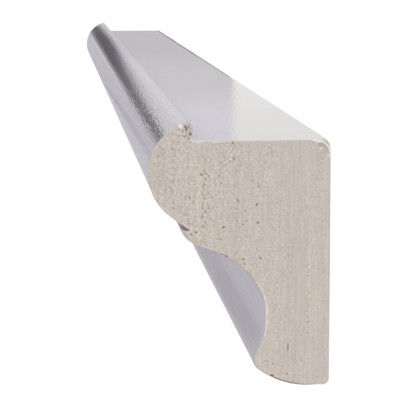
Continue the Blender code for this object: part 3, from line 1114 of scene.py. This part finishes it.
def add_specks(look, finish, color, specks):
    """Pale and dark specks and pinholes, coarser towards the bead and livelier in some patches."""
    coarse = look.range(look.place("Y"), RAIL_HIGH[1] - 4.0 * MM, RAIL_HIGH[1] - 28.0 * MM, 0.45, 1.0)
    clouds = look.range(look.pattern((0.1, 0.25, 0.12), detail=2.0, offset=4.0), 0.3, 0.7, 0.5, 1.2)
    lively = look.times(coarse, clouds)
    pinholes = look.pattern((1.5, 2.6, 2.2), detail=1.0, offset=14.0)
    for marks, start, end, share, tone in (
            (specks, 0.51, 0.68, 0.85, finish.halo),
            (specks, 0.48, 0.30, 0.45, finish.pore_and_shade),
            (pinholes, 0.32, 0.22, 0.7, finish.pore_and_shade)):
        shown = look.times(look.range(marks, start, end), lively)
        color = look.blend(look.times(shown, share), color, tone)
    return color


def add_ring_line(look, finish, color):
    """A faint, broken ring line near the back, leaning away from it low down, with a dark side."""
    across, height = look.place("Y"), look.place("Z")
    lean = look.times(look.arithmetic("MINIMUM", look.plus(height, 37.0 * MM), 0.0), 0.06)
    ring_place = look.minus(look.minus(across, RAIL_HIGH[1] - 4.4 * MM), lean)
    breaks = look.range(look.pattern((0.1, 0.1, 0.5), detail=1.0, offset=8.0), 0.35, 0.6, 0.1, 0.55)
    shown = look.times(look.range(height, -12.0 * MM, -22.0 * MM), breaks)
    ring_gap = look.arithmetic("ABSOLUTE", ring_place)
    ring = look.times(look.range(ring_gap, 0.17 * MM, 0.03 * MM), shown)
    color = look.blend(ring, color, finish.halo)
    side_gap = look.arithmetic("ABSOLUTE", look.plus(ring_place, 0.26 * MM))
    side = look.times(look.range(side_gap, 0.14 * MM, 0.0), look.times(shown, 0.25))
    return look.blend(side, color, finish.pore_and_shade)


def end_grain_material(finish):
    """Matte end grain, dulled by thin paint, with fine specks, faint upright bands, open pores partly
    darkened as painted shade, and painted shade lines along parts of its outline.
    """
    look = Finish("end_grain")
    specks = look.pattern((1.5, 3.0, 2.6), detail=3.0, rough=0.75, offset=2.0)
    color = grain_tones(look, finish)
    color = add_specks(look, finish, color, specks)
    color = add_ring_line(look, finish, color)
    color = look.blend(look.attribute("painted"), color, finish.paint_light)
    color = look.blend(look.times(look.attribute("pale"), 0.8), color, finish.halo)
    color = look.blend(look.attribute("bare"), color, finish.bare_wood)
    color = look.blend(look.attribute("flake"), color, finish.flake)
    # Pores, partly painted shade in their pits, and the painted shade lines along the outline, in the pore
    # colour.
    color = look.blend(look.attribute("dark"), color, finish.pore_and_shade)
    roughness = look.range(look.attribute("painted"), 0.0, 1.0, 0.85, 0.5)
    fuzz = look.bump(specks, 0.05 * MM)
    grain = look.bump(look.pattern((1.0, 4.0, 2.4), detail=2.0, offset=5.0), 0.02 * MM, fuzz)
    return look.finish(color, roughness, grain)


def plain_material(name, color, roughness):
    """A plain material for the stage."""
    material = bpy.data.materials.new(name)
    material.use_nodes = True
    shader = material.node_tree.nodes["Principled BSDF"]
    shader.inputs["Base Color"].default_value = (*color, 1.0)
    shader.inputs["Roughness"].default_value = roughness
    return material


def make_floor(stage):
    """A plain pale floor, and a white backdrop all round that only the camera sees."""
    bpy.ops.mesh.primitive_plane_add(size=FLOOR_WIDTH, location=(0.0, 0.0, -stage.floor_drop))
    floor = bpy.context.object
    floor.name = "floor"
    floor.data.materials.append(plain_material("pale_floor", (0.96, 0.96, 0.96), 0.9))
    bpy.ops.mesh.primitive_uv_sphere_add(segments=48, ring_count=24, radius=BACKDROP_RADIUS)
    backdrop = bpy.context.object
    backdrop.name = "backdrop"
    backdrop.data.materials.append(glow_material("white_backdrop", BACKDROP_GLOW))
    show_only(backdrop, camera=True, gloss=False)


def show_only(card, camera, gloss):
    """Let a stage card be seen by the camera or in reflections alone."""
    card.visible_camera = camera
    card.visible_glossy = gloss
    card.visible_diffuse = False
    card.visible_transmission = False
    card.visible_volume_scatter = False
    card.visible_shadow = False


def glow_material(name, strength, color=(1.0, 1.0, 1.0)):
    """An even glow, as of a lit studio card."""
    material = bpy.data.materials.new(name)
    material.use_nodes = True
    nodes, links = material.node_tree.nodes, material.node_tree.links
    nodes.clear()
    glow = nodes.new("ShaderNodeEmission")
    glow.inputs["Color"].default_value = (*color, 1.0)
    glow.inputs["Strength"].default_value = strength
    surface = nodes.new("ShaderNodeOutputMaterial")
    links.new(glow.outputs["Emission"], surface.inputs["Surface"])
    return material


def make_card(name, glow, tint, corners):
    """One flat card through its corners."""
    bpy.ops.mesh.primitive_circle_add(vertices=len(corners), fill_type="NGON")
    card = bpy.context.object
    card.name = name
    set_places(card, np.array(corners))
    card.data.materials.append(glow_material(name, glow, tint))
    show_only(card, camera=False, gloss=True)


def make_cards(stage):
    """Cards beyond the far end that the paint mirrors at its glancing angles."""
    near = RAIL_HIGH[0]
    for name, glow, tint, away, corners in CARDS:
        reach = away + near
        make_card(name, glow, tint, [
            (-away, -reach * math.tan(math.radians(side)), reach * math.tan(math.radians(up)))
            for side, up in corners])
    low = 0.01 - stage.floor_drop
    make_card("floor_card", FLOOR_CARD_GLOW, FLOOR_CARD_TINT, [(x, y, low) for x, y in FLOOR_CARD_CORNERS])


def make_light(scene):
    """Even room light with one broad soft light from above, in front and to the viewer's side."""
    world = bpy.data.worlds.new("soft_room")
    world.use_nodes = True
    world.node_tree.nodes["Background"].inputs["Color"].default_value = (1.0, 1.0, 1.0, 1.0)
    world.node_tree.nodes["Background"].inputs["Strength"].default_value = ROOM_LIGHT
    scene.world = world
    data = bpy.data.lights.new("soft_key", "SUN")
    data.energy = KEY_LIGHT
    data.angle = KEY_SPREAD
    key = bpy.data.objects.new("soft_key", data)
    key.rotation_euler = Vector(KEY_FROM).to_track_quat("Z", "Y").to_euler()
    scene.collection.objects.link(key)


def make_camera(scene, stage):
    """A camera beyond the near end, aimed along the rail and a little down."""
    data = bpy.data.cameras.new("camera")
    data.lens = stage.camera_lens
    data.sensor_width = SENSOR_WIDTH
    data.clip_start = 0.01
    data.clip_end = 100.0
    camera = bpy.data.objects.new("camera", data)
    scene.collection.objects.link(camera)
    aim = Vector((
        -math.cos(stage.camera_turn) * math.cos(stage.camera_dip),
        math.sin(stage.camera_turn) * math.cos(stage.camera_dip),
        -math.sin(stage.camera_dip)))
    turn = aim.to_track_quat("-Z", "Y") @ Matrix.Rotation(stage.camera_roll, 4, "Z").to_quaternion()
    camera.rotation_euler = turn.to_euler()
    camera.location = stage.camera_place
    scene.camera = camera


class RAIL_OT_stage(bpy.types.Operator):
    """Set the camera, the floor, the cards and the lights."""

    bl_idname = "rail.stage"
    bl_label = "Set stage"

    def execute(self, context):
        stage = context.scene.rail_stage
        scene = context.scene
        deselect_objects()
        make_camera(scene, stage)
        make_floor(stage)
        make_cards(stage)
        make_light(scene)
        scene.view_settings.view_transform = "Standard"
        return {"FINISHED"}


class RAIL_PT_panel(bpy.types.Panel):
    """Lists the steps that make the rail and its stage."""

    bl_idname = "RAIL_PT_panel"
    bl_label = "Light rail"
    bl_space_type = "VIEW_3D"
    bl_region_type = "UI"
    bl_category = "Light rail"

    def draw(self, context):
        for step in ("rail.body", "rail.wear", "rail.finish", "rail.stage"):
            self.layout.operator(step)


CLASSES = (
    RailSection, RailWear, RailFinish, RailStage, RAIL_OT_body, RAIL_OT_wear, RAIL_OT_finish, RAIL_OT_stage,
    RAIL_PT_panel,
)


def register():
    """Add the classes and the scene's settings."""
    for entry in CLASSES:
        bpy.utils.register_class(entry)
    bpy.types.Scene.rail_section = bpy.props.PointerProperty(type=RailSection)
    bpy.types.Scene.rail_wear = bpy.props.PointerProperty(type=RailWear)
    bpy.types.Scene.rail_finish = bpy.props.PointerProperty(type=RailFinish)
    bpy.types.Scene.rail_stage = bpy.props.PointerProperty(type=RailStage)


def unregister():
    """Remove what register added."""
    del bpy.types.Scene.rail_stage
    del bpy.types.Scene.rail_finish
    del bpy.types.Scene.rail_wear
    del bpy.types.Scene.rail_section
    for entry in reversed(CLASSES):
        bpy.utils.unregister_class(entry)


def main():
    """Make the pieces and the stage."""
    register()
    bpy.ops.rail.body()
    bpy.ops.rail.wear()
    bpy.ops.rail.finish()
    bpy.ops.rail.stage()


if __name__ == "__main__":
    main()
